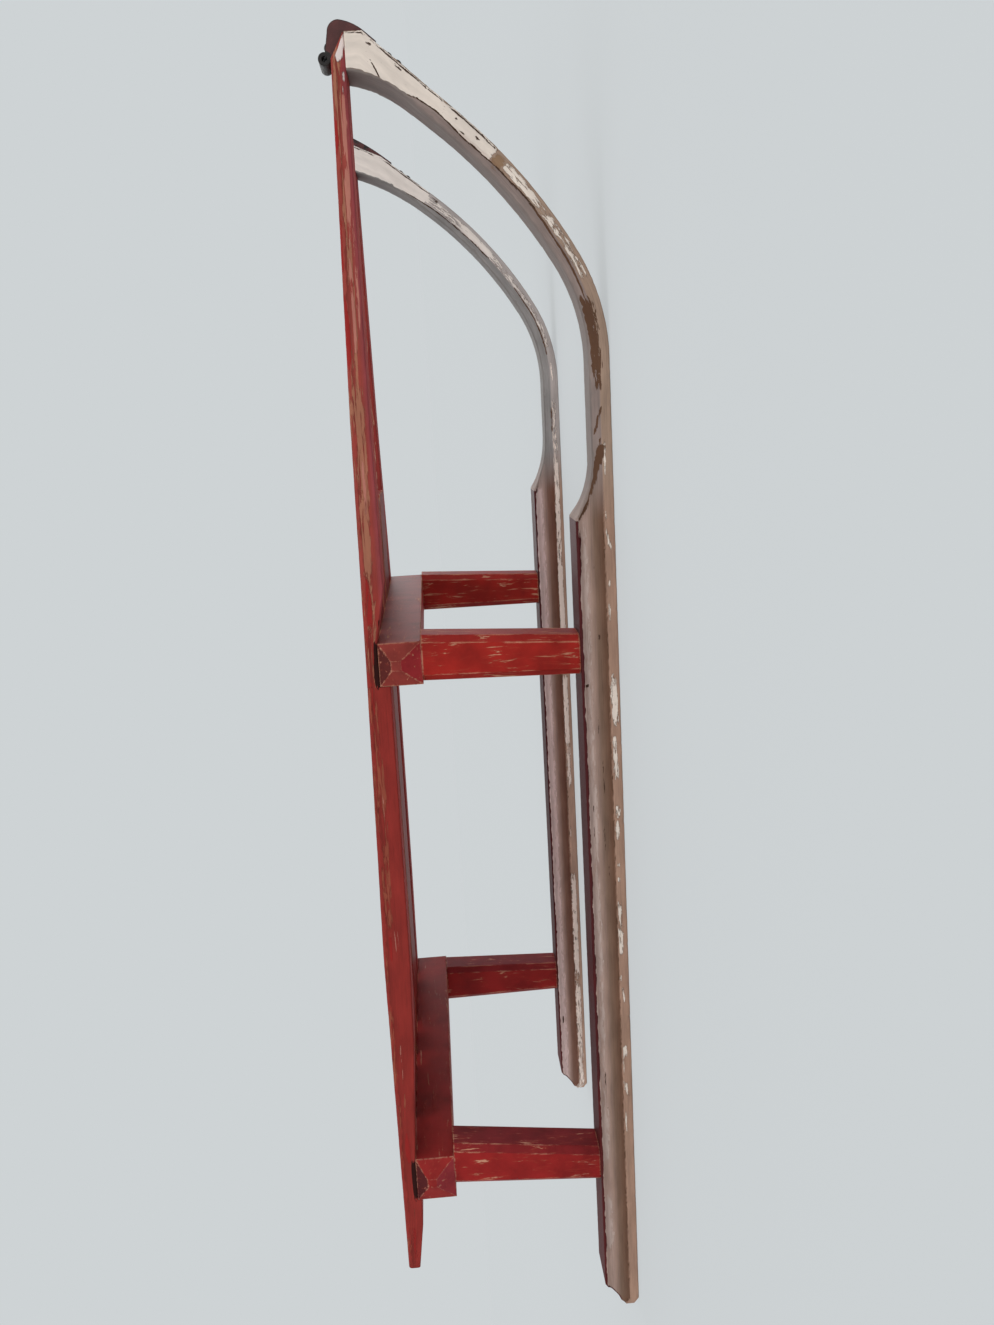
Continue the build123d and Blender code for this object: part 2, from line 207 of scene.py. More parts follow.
def add(tree, kind, inputs=(), out=None, ramp=None, **settings):
    """Adds a node with its settings and links, and gives back one output."""
    node = tree.nodes.new("ShaderNode" + kind)
    for key, value in settings.items():
        setattr(node, key, value)
    if ramp:
        stops = node.color_ramp.elements
        while len(stops) < len(ramp):
            stops.new(1.0)
        for stop, (place, colour) in zip(stops, ramp):
            stop.position = place
            stop.color = linear(colour) if isinstance(colour, str) else (colour,) * 3 + (1.0,)
    sockets = [socket for socket in node.inputs if socket.enabled]
    for key, value in inputs.items() if isinstance(inputs, dict) else enumerate(inputs):
        socket = sockets[key] if isinstance(key, int) else next(s for s in sockets if s.name == key)
        if isinstance(value, bpy.types.NodeSocket):
            tree.links.new(value, socket)
        elif value is not None:
            socket.default_value = value
    return node.outputs[out] if out else next((s for s in node.outputs if s.enabled), None)


def new_material(name):
    """Empty node material and its tree."""
    material = bpy.data.materials.new(name)
    material.use_nodes = True
    material.node_tree.nodes.clear()
    return material, material.node_tree


def close_surface(tree, colour, roughness, height, relief, normal=None, **fixed):
    """Ends a tree: a bump as high as the height times the relief in metres, the surface and the output."""
    bump = add(tree, "Bump", {"Strength": 1.0, "Distance": relief, "Height": height, "Normal": normal})
    inputs = {"Base Color": colour, "Roughness": roughness, "Normal": bump}
    add(tree, "OutputMaterial", (add(tree, "BsdfPrincipled", inputs | fixed),))


def backdrop_rays(tree):
    """1 for the rays that show the plain backdrop: the camera's, reflected and passed through. 0 for the others."""
    seen = 0.0
    for kind in ("Camera", "Glossy", "Transmission"):
        seen = add(tree, "Math", (add(tree, "LightPath", out=f"Is {kind} Ray"), seen), operation="MAXIMUM")
    return seen


def wander(along, lengths, seed):
    """Smooth random run of about -1 to 1: sines of the given wavelengths at seeded phases, added up."""
    phases = np.random.default_rng(seed).uniform(0, 2 * np.pi, len(lengths))
    waves = [np.sin(2 * np.pi * along / length + phase) for length, phase in zip(lengths, phases)]
    return np.sum(waves, axis=0) / math.sqrt(len(lengths))


def seat_at(x):
    """Height of the seat line at a station: a straight line over both beams."""
    return SEAT_FRONT + (FRONT_BRIDGE - x) * SEAT_SLOPE


def rail_line(x, values, sign):
    """Height of a rail's underside or top: the seat line less or plus values joined by straight runs."""
    return seat_at(x) + sign * np.interp(x, RAIL_STATIONS, values)


def horn_foot(row):
    """Foot of a horn's straight and its directions up and inward.

    The foot is where the sole's two arcs end: each moves it by its radius times the change in sine along the
    ground, and by its radius times the change in cosine upwards.
    """
    sine, cosine = math.sin(row["turn"]), math.cos(row["turn"])
    run = NOSE_RADIUS * math.sin(NOSE_TURN) + HORN_RADIUS * (sine - math.sin(NOSE_TURN))
    rise = NOSE_RADIUS * (1 - math.cos(NOSE_TURN)) + HORN_RADIUS * (math.cos(NOSE_TURN) - cosine)
    return np.array([NOSE_START - row["back"] + run, rise]), np.array([cosine, sine]), np.array([-sine, cosine])


def runner_lines(row):
    """Low and high line of a runner in side view, matched point by point, and its length along the sole.

    The low line is the sole: a straight, the nose's arc, the horn's arc, a straight and the sawn butt. The high
    line lies a depth above it along its normal: heel cut, deck, hollow and horn, then the flare.
    """
    nose, run = NOSE_START - row["back"], row["shoulder_run"]
    heel = [SOLE_EASE_RUN / 2, SOLE_EASE_RUN, 12, HEEL_CUT_RUN]
    ends = [SHOULDER - 0.4, SHOULDER, SHOULDER + run]
    x = np.unique(np.concatenate([np.linspace(0, nose, STEPS["sole"]), heel, ends]))
    sole = np.stack([x, np.maximum(0, SOLE_EASE_RISE * (1 - x / SOLE_EASE_RUN))], axis=1)
    step = DEPTH - HORN_DEPTH
    hollow = (run**2 + step**2) / (2 * step)
    away = np.clip(SHOULDER + run - x, 0, run)
    deck = np.where(x <= SHOULDER, DEPTH, HORN_DEPTH + hollow - np.sqrt(hollow**2 - away**2))
    cut = HEEL_CUT_FOOT + (DEPTH - HEEL_CUT_FOOT) / HEEL_CUT_RUN * x
    deck = np.stack([x, np.minimum(deck, cut)], axis=1)

    turns = ((0, NOSE_TURN, STEPS["nose"]), (NOSE_TURN, row["turn"], STEPS["bend"]))
    turn = np.concatenate([np.linspace(*limits)[1:] for limits in turns])
    on_horn = turn > NOSE_TURN
    radius = np.where(on_horn, HORN_RADIUS, NOSE_RADIUS)
    shift = on_horn * (NOSE_RADIUS - HORN_RADIUS)
    centre_x = nose + shift * math.sin(NOSE_TURN)
    centre_z = NOSE_RADIUS - shift * math.cos(NOSE_TURN)
    centre = np.stack([centre_x, centre_z], axis=1)
    spoke = np.stack([np.sin(turn), -np.cos(turn)], axis=1)
    bend_low = centre + radius[:, None] * spoke
    bend_high = centre + (radius - HORN_DEPTH)[:, None] * spoke

    foot, forward, inward = horn_foot(row)
    straight = (BUTT - foot[1]) / forward[1]
    up = np.linspace(0, straight - FLARE, STEPS["horn"])[1:, None]
    straight_low = foot + up * forward
    straight_high = straight_low + HORN_DEPTH * inward

    # From the flare's start: up the front to the sawn butt and under the rail, and the tangent arc inside
    corners = np.array([straight_low[-1], foot + straight * forward, (TIP, rail_line(TIP, row["drop"], -1))])
    runs = np.concatenate([[0], np.cumsum(np.linalg.norm(np.diff(corners, axis=0), axis=1))])
    share = np.unique(np.concatenate([np.linspace(0, 1, STEPS["flare"])[1:], [runs[1] / runs[2]]]))
    end_low = np.stack([np.interp(share * runs[2], runs, corners[:, k]) for k in (0, 1)], axis=1)
    start, end_x = straight_high[-1], TIP - END_RUN
    chord = np.array([end_x, rail_line(end_x, row["drop"], -1)]) - start
    lean = math.atan2(chord @ inward, chord @ forward)
    flare_radius = np.hypot(*chord) / (2 * math.sin(lean))
    sweep = 2 * lean * share[:, None]
    end_high = start + flare_radius * (np.sin(sweep) * forward + (1 - np.cos(sweep)) * inward)

    low = np.concatenate([sole, bend_low, straight_low, end_low])
    high = np.concatenate([deck, bend_high, straight_high, end_high])
    along = np.concatenate([[0], np.cumsum(np.linalg.norm(np.diff(low, axis=0), axis=1))])
    return low, high, along


def cove_inset(row):
    """Function that says how far a runner's coves cut in from its side faces.

    It is a circle's sagitta by the distance from the cove's middle line: a fixed depth along the sole and the
    bend, and past the run-out's turn a smaller arc, which climbs out through the horn's inner face.
    """
    turn_at = NOSE_START - row["back"] + NOSE_RADIUS * NOSE_TURN + HORN_RADIUS * (RUN_OUT_TURN - NOSE_TURN)
    shift = NOSE_RADIUS - HORN_RADIUS
    horn_x = NOSE_START - row["back"] + shift * math.sin(NOSE_TURN)
    horn_z = NOSE_RADIUS - shift * math.cos(NOSE_TURN)
    step = HORN_RADIUS - COVE_HEIGHT - RUN_OUT_RADIUS
    centre_x = horn_x + step * math.sin(RUN_OUT_TURN)
    centre_z = horn_z - step * math.cos(RUN_OUT_TURN)

    def inset(depth, along, x, z):
        off = np.where(along < turn_at, depth - COVE_HEIGHT, RUN_OUT_RADIUS - np.hypot(x - centre_x, z - centre_z))
        sink = np.sqrt(np.maximum(0, COVE_RADIUS**2 - off**2)) - (COVE_RADIUS - COVE_SINK)
        return np.maximum(0, sink)

    return inset


def no_inset(depth, along, x, z):
    """A plain side face: 0 everywhere."""
    return 0 * depth


def bar(name, low, high, along, centre_y, half, inset, arris):
    """Closed bar between a low and a high line in side view, and its coordinates for the paint.

    At each station a half section goes from the middle of the underside out to the arris, up the side and back
    to the middle of the top. The half width is a fixed half less the inset at that point, and each arris is a
    quarter circle. Girth is 0 to 1 on the underside, 1 to 2 on the side and 2 to 3 on top, negative on the
    -Y half. The strip map has the length along it in X, and the way round from the underside's middle in Y.
    """
    rise = np.linalg.norm(high - low, axis=1)[:, None]
    unit = (high - low) / rise
    flat = FLAT_STEPS - 1
    across = np.linspace(0, 1, FLAT_STEPS)
    quarter = np.radians([0, 30, 60, 90])
    side = np.linspace(0, 1, SIDE_STEPS)[1:-1]
    zero = np.zeros((len(along), 1))
    level = zero + 0 * across[:-1]
    halves = []
    for sign in (1, -1):
        foot = np.minimum(arris[sign, "low"][:, None], rise * ARRIS_SHARE)
        head = np.minimum(arris[sign, "high"][:, None], rise * ARRIS_SHARE)
        depth = np.concatenate(
            [level, foot * (1 - np.cos(quarter)), foot + (rise - foot - head) * side,
             rise - head * (1 - np.cos(quarter[::-1])), rise + level], axis=1)
        tuck = np.concatenate(
            [level, foot * (1 - np.sin(quarter)), zero + 0 * side, head * (1 - np.sin(quarter[::-1])), level], axis=1)
        x = low[:, :1] + depth * unit[:, :1]
        z = low[:, 1:] + depth * unit[:, 1:]
        out = half - inset(depth, along[:, None], x, z) - tuck
        out[:, :flat] = across[:-1] * out[:, flat : flat + 1]
        out[:, -flat:] = across[-2::-1] * out[:, -flat - 1 : -flat]
        girth = np.concatenate([across[:-1], [1.0] * 4, 1 + side, [2.0] * 4, 2 + across[1:]])
        halves.append((depth, x, z, sign * out, sign * np.broadcast_to(girth, depth.shape)))
    depth, x, z, y, girth = (np.concatenate([a, b[:, -2:0:-1]], axis=1) for a, b in zip(*halves))
    points = np.stack([HEEL + x, centre_y + y, z], axis=-1) * MM

    # Walls between the stations, and at both ends strips from one half to the other and a fan over each flat
    rows, columns = depth.shape
    number = np.arange(rows * columns).reshape(rows, columns)
    after = np.roll(number, -1, axis=1)
    walls = np.stack([number[:-1], after[:-1], after[1:], number[1:]], axis=-1).reshape(-1, 4)
    middle, inner = columns // 2, flat + 1
    right = np.arange(inner, middle - inner)
    strips = np.stack([right, right + 1, columns - right - 1, columns - right], axis=-1)
    edge = np.arange(-inner, inner)
    under = np.stack([0 * edge[1:] + inner, edge[:-1] % columns, edge[1:] % columns], axis=-1)
    over = np.stack([0 * edge[1:] + middle + inner, middle + edge[:-1], middle + edge[1:]], axis=-1)
    faces = walls.tolist()
    for part in (strips, under, over):
        faces += number[0][part][:, ::-1].tolist() + number[-1][part].tolist()

    mesh = bpy.data.meshes.new(name)
    mesh.from_pydata(points.reshape(-1, 3), [], faces)
    field = {
        "along": np.broadcast_to(along[:, None], depth.shape).ravel(),
        "depth": depth.ravel(),
        "girth": girth.ravel(),
        "rise": np.broadcast_to(rise, depth.shape).ravel(),
        "z": z.ravel(),
    }
    strip = mesh.uv_layers.new(name="strip")
    order = np.zeros(len(mesh.loops), dtype=np.int64)
    mesh.loops.foreach_get("vertex_index", order)
    turn = np.abs(girth)
    girth_run = np.where(turn > 2, turn * FLAT_WIDTH, np.minimum(turn, 1) * FLAT_WIDTH + depth)
    girth_run = girth_run.ravel() + np.where(field["girth"] < 0, HALF_SHIFT, 0)
    strip.data.foreach_set("uv", (np.stack([field["along"], girth_run], axis=1) * MM)[order].ravel())
    mesh.shade_smooth()
    piece = bpy.data.objects.new(name, mesh)
    bpy.context.scene.collection.objects.link(piece)
    return piece, field


def put_field(piece, name, values):
    """Stores a value or a colour for each point of a piece, for its material to read."""
    coloured = values.ndim == 2
    attribute = piece.data.attributes.new(name, "FLOAT_COLOR" if coloured else "FLOAT", "POINT")
    attribute.data.foreach_set("color" if coloured else "value", values.astype(np.float32).ravel())


def window(values, low, high, soft):
    """1 between two limits and 0 outside, with straight ramps of a soft width."""
    return np.clip((values - low) / soft + 0.5, 0, 1) * np.clip((high - values) / soft + 0.5, 0, 1)


def band(along, depth, line, half):
    """1 on a line of (station, depth) points, falling off as a bell over a half thickness, and 0 past its ends."""
    stations, depths = zip(*line)
    bell = np.exp(-(((depth - np.interp(along, stations, depths)) / half) ** 2))
    return bell * window(along, stations[0], stations[-1], 1.0)


def spots(along, depth, rows):
    """Greatest of a table of blots at each point: (station, depth, half length, half height, slant, strength).

    A blot is its strength in the middle and falls off as a bell along its halves. Slant is its change of depth
    per length.
    """
    best = np.zeros(len(along))
    for station, middle, length, height, slant, strength in rows:
        run = along - station
        far = (run / length) ** 4 + ((depth - middle - slant * run) / height) ** 2
        best = np.maximum(best, strength * np.exp(-far))
    return best


def values_at(along, stops):
    """Values along a piece: straight runs between the values at some stations."""
    return np.interp(along, *zip(*stops))


def tones(along, stops):
    """Colours along a piece: straight runs between the hex colours at some stations."""
    stations, codes = zip(*stops)
    values = np.array([linear(code) for code in codes])
    return np.stack([np.interp(along, stations, values[:, k]) for k in range(4)], axis=1)


def blend(base, colour, share):
    """Colours moved by a share at each point towards a hex colour, a plain colour or other colours."""
    colour = np.array(linear(colour) if isinstance(colour, str) else colour)
    if colour.shape[-1] == 3:
        colour = np.append(colour, 1.0)
    return base + (colour - base) * share[:, None]


def put_coat(piece, name, colours, reach):
    """Stores a coat of paint on a piece: its colour, and in the alpha how sure it is to lie at each point.

    A reach under 0.4 is lowered by up to a half, so that no stray flecks lie where there is no mark.
    """
    reach = reach - 0.5 * np.clip(1 - reach / 0.4, 0, 1)
    put_field(piece, name, np.concatenate([colours[:, :3], reach[:, None]], axis=1))


def coated_wood(name, flake_mm, grain_mm, coats):
    """Old oil paint on open-grained wood, for a piece with a strip map and coats.

    The eye gets brushed paint that broke off along the grain: bare wood is the tone at each point, with the light
    and shade that the runners and rails paint into it, under dark lengthwise pores, and a coat lies where its reach
    plus a ragged noise passes a half. A coat has a height over the bare wood, in fifths of a millimetre, and it may
    have a dark rim along its broken edge, which is a painted shadow of the coat's edge. The sizes are a flake's and a
    pore's, along and across.
    """
    material, tree = new_material(name)
    strip = add(tree, "UVMap", uv_map="strip")
    flake_map = add(tree, "Mapping", {"Vector": strip, "Scale": (1000 / flake_mm[0], 1000 / flake_mm[1], 1)})
    ragged = add(
        tree, "TexNoise", {"Vector": flake_map, "Scale": 1.0, "Detail": 8.0, "Roughness": 0.66, "Distortion": 0.5})
    grain_map = add(tree, "Mapping", {"Vector": strip, "Scale": (1000 / grain_mm[0], 1000 / grain_mm[1], 1)})
    grain = add(
        tree, "TexNoise", {"Vector": grain_map, "Scale": 1.0, "Detail": 5.0, "Roughness": 0.6, "Distortion": 0.3})
    patch_scale = (1000 / PATCH_MM[0], 1000 / PATCH_MM[1], 1)
    patch_map = add(tree, "Mapping", {"Vector": strip, "Scale": patch_scale, "Location": (3.1, 0.7, 0)})
    cloud = add(tree, "TexNoise", {"Vector": patch_map, "Scale": 1.0, "Detail": 5.0, "Roughness": 0.6})

    tone = add(tree, "Attribute", attribute_name="tone", out="Color")
    pores = add(tree, "ValToRGB", (grain,), ramp=[(0.3, 0.76), (0.46, 0.97), (0.7, 1.07)])
    patches = add(tree, "ValToRGB", (cloud,), ramp=[(0.32, 0.82), (0.68, 1.14)])
    colour = add(tree, "Mix", (1.0, tone, pores), **TINT)
    colour = add(tree, "Mix", (1.0, colour, patches), **TINT)
    spread = add(tree, "Math", (ragged, 3.6, -1.8), operation="MULTIPLY_ADD")
    height = 0.0
    for field, lift, rim in coats:
        reach = add(tree, "Attribute", attribute_name=field, out="Alpha")
        total = add(tree, "Math", (reach, spread), operation="ADD")
        if rim:
            near = add(tree, "MapRange", {"Value": total} | RIMMED, interpolation_type="SMOOTHSTEP")
            colour = add(tree, "Mix", (near, colour, linear(rim)), data_type="RGBA")
        cover = add(tree, "MapRange", {"Value": total} | COVERED, interpolation_type="SMOOTHSTEP")
        paint = add(tree, "Attribute", attribute_name=field, out="Color")
        paint = add(tree, "Mix", (0.7, paint, patches), **TINT)
        colour = add(tree, "Mix", (cover, colour, paint), data_type="RGBA")
        height = add(tree, "Mix", (cover, height, lift), data_type="FLOAT")
    dull_to_smooth = {"From Min": -1.0, "From Max": 1.0, "To Min": 0.85, "To Max": 0.58}
    rough = add(tree, "MapRange", {"Value": height} | dull_to_smooth)
    height = add(tree, "Math", (grain, 0.6, height), operation="MULTIPLY_ADD")
    close_surface(tree, colour, rough, height, 0.2 * MM, **{"Specular IOR Level": 0.15})
    return material


def red_solid(name, streak_mm, rub, wash, faces, bare):
    """Red oil paint on planed hardwood, for solids with sharp arrises.

    The eye gets paint rubbed through to tan wood along every arris, which the Bevel node finds as a turn of the
    normal, and in streaks, whose size is given along each axis. Rub and wash say how far both go, bare is the
    wood's darker tone, and faces gives an axis and the paint's colours from the faces against it to those along
    it. These colours by the way a face looks are painted light and shade.
    """
    material, tree = new_material(name)
    place = add(tree, "TexCoord", out="Object")
    streak_map = add(tree, "Mapping", {"Vector": place, "Scale": tuple(1000 / size for size in streak_mm)})
    streak = add(
        tree, "TexNoise", {"Vector": streak_map, "Scale": 1.0, "Detail": 8.0, "Roughness": 0.68, "Distortion": 0.6})
    cloud = add(tree, "TexNoise", {"Vector": place, "Scale": 1000 / BLOTCH_MM, "Detail": 5.0, "Roughness": 0.6})
    rounded = add(tree, "Bevel", {"Radius": 2.0 * MM}, samples=6)
    true = add(tree, "NewGeometry", out="True Normal")
    turn = add(tree, "VectorMath", (rounded, true), operation="DOT_PRODUCT", out="Value")
    edge = add(tree, "MapRange", {"Value": turn, "From Min": 0.998, "From Max": 0.95, "To Min": 0.0, "To Max": rub})
    spread = add(tree, "Math", (streak, 3.4, wash - 1.7), operation="MULTIPLY_ADD")
    total = add(tree, "Math", (edge, spread), operation="ADD")
    worn = add(tree, "MapRange", {"Value": total} | COVERED, interpolation_type="SMOOTHSTEP")
    scuff = add(tree, "MapRange", {"Value": total, "From Min": 0.25, "From Max": 0.5, "To Max": 0.45})
    # The paint's colour by the way a face looks: painted light and shade
    shade_by_facing = add(tree, "SeparateXYZ", (true,), out=faces[0])
    shade_by_facing = add(tree, "MapRange", {"Value": shade_by_facing, "From Min": -1.0, "From Max": 1.0})
    paint = add(tree, "ValToRGB", (shade_by_facing,), ramp=faces[1])
    patches = add(tree, "ValToRGB", (cloud,), ramp=[(0.34, 0.74), (0.66, 1.2)])
    paint = add(tree, "Mix", (1.0, paint, patches), **TINT)
    paint = add(tree, "Mix", (scuff, paint, linear("#a0402f")), data_type="RGBA")
    wood = add(tree, "ValToRGB", (cloud,), ramp=[(0.35, bare), (0.65, "#c48c72")])
    colour = add(tree, "Mix", (worn, paint, wood), data_type="RGBA")
    height = add(tree, "Math", (worn, -1.0, streak), operation="MULTIPLY_ADD")
    rough = add(tree, "MapRange", {"Value": worn, "To Min": 0.5, "To Max": 0.8})
    close_surface(tree, colour, rough, height, 0.18 * MM, rounded, **{"Specular IOR Level": 0.08})
    return material


def forged_iron(name, paint, eye=None, left_on=0.0):
    """Forged iron, under the remains of brown paint where it has an eye.

    The eye gets near-black scale, pitted and dull, on the edges, the rivet and the rolled eye, and old brown
    paint on the flat sides, as far as some is left on.
    """
    material, tree = new_material(name)
    place = add(tree, "TexCoord", out="Object")
    pits = add(tree, "TexNoise", {"Vector": place, "Scale": 1000 / PIT_MM, "Detail": 6.0, "Roughness": 0.7})
    cloud = add(tree, "TexNoise", {"Vector": place, "Scale": 1000 / RUST_MM, "Detail": 5.0, "Roughness": 0.65})
    rounded = add(tree, "Bevel", {"Radius": 1.2 * MM}, samples=6)
    colour = add(tree, "ValToRGB", (pits,), ramp=[(0.35, "#14100e"), (0.7, "#2b2522")])
    if eye:
        true = add(tree, "NewGeometry", out="True Normal")
        side = add(tree, "Math", (add(tree, "SeparateXYZ", (true,), out="Y"),), operation="ABSOLUTE")
        turn = add(tree, "VectorMath", (rounded, true), operation="DOT_PRODUCT", out="Value")
        kept = add(tree, "MapRange", {"Value": turn, "From Min": 0.93, "From Max": 0.995})
        side = add(tree, "Math", (side, kept), operation="MULTIPLY")
        flat = add(tree, "Mapping", {"Vector": place, "Scale": (1, 0, 1)})
        reach = add(tree, "VectorMath", (flat, eye), operation="DISTANCE", out="Value")
        clear = add(tree, "MapRange", {"Value": reach, "From Min": EYE_EDGE[0] * MM, "From Max": EYE_EDGE[1] * MM})
        side = add(tree, "Math", (side, clear), operation="MULTIPLY")
        ragged = add(tree, "Math", (cloud, 1.6, left_on - 1.3), operation="MULTIPLY_ADD")
        total = add(tree, "Math", (side, ragged), operation="ADD")
        left = add(
            tree, "MapRange", {"Value": total, "From Min": 0.5, "From Max": 0.62}, interpolation_type="SMOOTHSTEP")
        patches = add(tree, "ValToRGB", (cloud,), ramp=[(0.35, 0.8), (0.7, 1.4)])
        brown = add(tree, "Mix", (1.0, tuple(paint) + (1.0,), patches), **TINT)
        colour = add(tree, "Mix", (left, colour, brown), data_type="RGBA")
    close_surface(tree, colour, 0.6, pits, 0.3 * MM, rounded, Metallic=0.3)
    return material


# Marks on the runners' photographed sides, by length along the sole and depth above it.
# Bare wood: its tone on the lip and at the low, middle and high part of the cove, each one for the straight sole and
# one for the horn. Along the straight sole the cove's tone runs from dark low to light high, which is painted shade
# where its lower half looks up and painted light where its upper half looks down.
# Wash, the thin paint left in the cove: its tone, how far it reaches (washed), and how far its upper part darkens
# towards red-brown under the deck, which is painted shade.
# Cream, the thick paint on the lip: how far it reaches, its tone (white), the depths that it spans, the depth where
# the lip ends (ends), and the length from which it covers the whole lip (full).
# Single marks: flakes of cream, brown wood at the shoulder, worn through elsewhere and along the joint, dark chips,
# drips of red, and the depth where the deck's red begins (edge).
RUNNER_PAINT = {
    "right": {
        "lip": [(735, "#a0806e"), (780, "#9c8473")],
        "low": [(735, "#684b3b"), (780, "#8a7b75")],
        "mid": [(735, "#7b6354"), (780, "#8a7b75")],
        "high": [(735, "#b4988c"), (780, "#8a7b75")],
        "wash": [(0, "#cab6ad")],
        "washed": [
            (0, 0.2), (58, 0.3), (66, 0.85), (112, 0.8), (122, 0.0), (148, 0.0), (158, 0.75), (200, 0.7), (215, 0.4),
            (275, 0.5), (290, 0.7), (325, 0.45), (345, 0.8), (425, 0.65), (438, 0.35), (452, 0.8), (505, 0.8),
            (520, 0.6), (650, 0.6), (700, 0.75), (735, 0.4), (745, -0.4),
        ],
        "cream": [
            (0, -0.1), (905, -0.1), (926, 0.42), (984, 0.5), (992, 0.75), (1022, 0.8), (1025, -0.6), (1032, -0.6),
            (1035, 1.2),
        ],
        "white": [(0, "#ddd0c5")],
        "ends": [
            (0, 8.3), (985, 8.4), (1028, 10.1), (1060, 11.4), (1085, 9.8), (1100, 11.4), (1110, 14.5), (1130, 19.2),
            (1136, 21.3), (1145, 26.0), (1152, 50.0),
        ],
        "span": (2.0, 8.0),
        "flakes": [
            (196, 6.9, 11, 1.0, 0.03, 0.8), (230, 5.6, 9, 1.8, 0.2, 0.75), (256, 7.2, 14, 0.7, 0, 0.8),
            (266, 5.0, 6, 1.8, 0, 0.8), (322, 5.6, 9, 1.5, 0.15, 0.65), (338, 7.0, 4, 1.0, 0, 0.8),
            (372, 6.0, 14, 2.4, 0, 0.75), (396, 6.2, 14, 2.2, 0.1, 0.85), (430, 6.2, 3, 1.2, 0, 0.7),
            (443, 5.6, 2, 1.6, 0, 0.7), (474, 5.8, 9, 2.2, 0, 0.85), (491, 5.2, 6, 2.2, 0, 0.85),
            (534, 5.6, 15, 2.3, 0.04, 0.85), (552, 5.8, 6, 1.8, 0, 0.8), (587, 4.8, 22, 2.6, 0.02, 1.05),
            (661, 6.5, 8, 1.0, 0, 0.7), (685, 6.0, 4, 1.3, 0, 0.8), (720, 5.5, 9, 1.2, 0.2, 0.9),
            (740, 7.0, 6, 0.8, 0, 0.7), (786, 6.5, 15, 1.1, 0, 0.75), (940, 6.6, 12, 1.6, 0, 0.9),
            (968, 5.0, 11, 1.6, 0, 0.8),
        ],
        "shoulder": [(735, 31.5), (745, 23.5), (757.5, 19), (766, 16), (776, 13), (786.5, 9.8), (794, 8.4)],
        "worn": [
            (843, 9.4, 9, 2.4, 0.1, 0.9), (864, 10.8, 20, 4.2, 0.06, 1.05), (890, 12.6, 20, 6.6, 0, 1.25),
            (806, 12.2, 5, 1.2, -0.3, 0.9), (814, 10.2, 10, 1.1, -0.25, 0.9), (728, 29.2, 16, 1.6, -0.05, 0.9),
            (742, 26.5, 9, 3.2, -0.9, 1.3), (756, 20.6, 9, 2.6, -0.6, 1.3), (788, 9.6, 12, 1.4, 0, 1.0),
            (1028, 7.0, 4.5, 4.5, 0, 1.2),
        ],
        "joint": [(908, 10.2), (960, 9.6), (992, 8.8)],
        "dark": [
            (236, 23.2, 8, 0.7, 0, 0.9), (472, 25, 8, 0.6, 0, 0.9), (494, 25, 4, 0.6, 0, 0.9),
            (465, 16, 15, 0.5, 0.03, 0.95), (492, 18, 5, 0.6, 0, 0.9), (601, 26.5, 1.6, 1.6, 0, 1.0),
            (640, 14.6, 3, 0.7, 0, 0.8), (205, 21, 6, 0.5, 0.4, 0.85), (700, 16.5, 5, 0.5, 0, 0.75),
            (566, 18, 9, 0.6, 0, 0.8), (520, 15, 18, 0.4, 0.02, 0.8), (440, 13.6, 14, 0.4, 0, 0.75),
            (1141, 17.5, 8, 0.8, -0.5, 1.2), (1125, 3.5, 5, 1.4, 0, 0.62), (1050, 5.5, 2, 1.0, 0, 0.95),
            (1070, 5.0, 1.2, 1.2, 0, 0.9), (1152, 5.0, 3, 1.0, 0.3, 0.8), (1146, 8.5, 2, 0.7, 0, 0.75),
            (1061, 9.4, 3, 0.7, 0, 0.8),
        ],
        "red": [(712, 28.4, 22, 1.2, -0.03, 1.0)],
        "edge": 28.9,
        "deck_shade": 0.3,
        "full": 1033,
    },
    "left": {
        # Lighter cream, wash and upper cove than the right runner's: painted light against the shade of the seat and
        # near runner
        "lip": [(735, "#b49482"), (780, "#aba19d")],
        "low": [(735, "#6f4c3e"), (780, "#8b8886")],
        "mid": [(735, "#7c5d50"), (780, "#8b8886")],
        "high": [(735, "#bfa399"), (780, "#8b8886")],
        "wash": [(0, "#e2c8c4")],
        "washed": [(0, 0.8), (735, 0.9), (745, -0.4)],
        "cream": [
            (0, 0.7), (40, 0.6), (136, 0.9), (142, 0.4), (158, 0.4), (164, 0.95), (278, 0.85), (290, 0.2), (388, 0.0),
            (396, 0.45), (448, 0.45), (454, 0.95), (522, 0.95), (530, 0.3), (575, 0.3), (582, 1.2), (648, 1.2),
            (655, 0.8), (690, 0.75), (700, 0.95), (758, 0.8), (768, 0.5), (828, 0.45), (838, 0.1), (884, 0.1),
            (890, 0.5), (998, 0.55), (1003, 1.1), (1038, 1.0), (1045, 0.6), (1085, 0.6), (1092, 1.3),
        ],
        "white": [(735, "#f0e0d6"), (980, "#d8cec8")],
        "ends": [
            (0, 9.6), (860, 8.2), (955, 8.4), (1000, 9.2), (1040, 10.5), (1080, 11.5), (1100, 13.0), (1120, 16.0),
            (1140, 20.0), (1160, 30.0), (1166, 60.0),
        ],
        "span": (3.4, 9.8),
        "flakes": [(420, 6.0, 20, 1.4, 0, 1.0), (340, 7.0, 9, 0.8, 0, 0.9), (862, 6.0, 10, 1.2, 0, 0.9)],
        "shoulder": [(733, 31.5), (745, 28.0), (756, 25.5), (775, 21.0), (792, 18.5)],
        "worn": [(812, 8.5, 14, 0.8, 0, 0.9)],
        "joint": [(880, 8.1), (930, 7.9), (962, 8.2)],
        "dark": [
            (94, 25.5, 5, 1.2, 0, 0.9), (1081, 3.0, 5, 2.2, 0, 0.7), (203, 6.5, 2, 2.0, 0, 0.8),
            (670, 6.5, 14, 0.6, 0, 0.85),
        ],
        "red": [(217, 29.5, 18, 1.2, 0, 0.7), (738, 29, 5, 2.4, 0, 1.0)],
        "edge": 31.0,
        "deck_shade": 0.0,
        "full": 1088,
    },
}


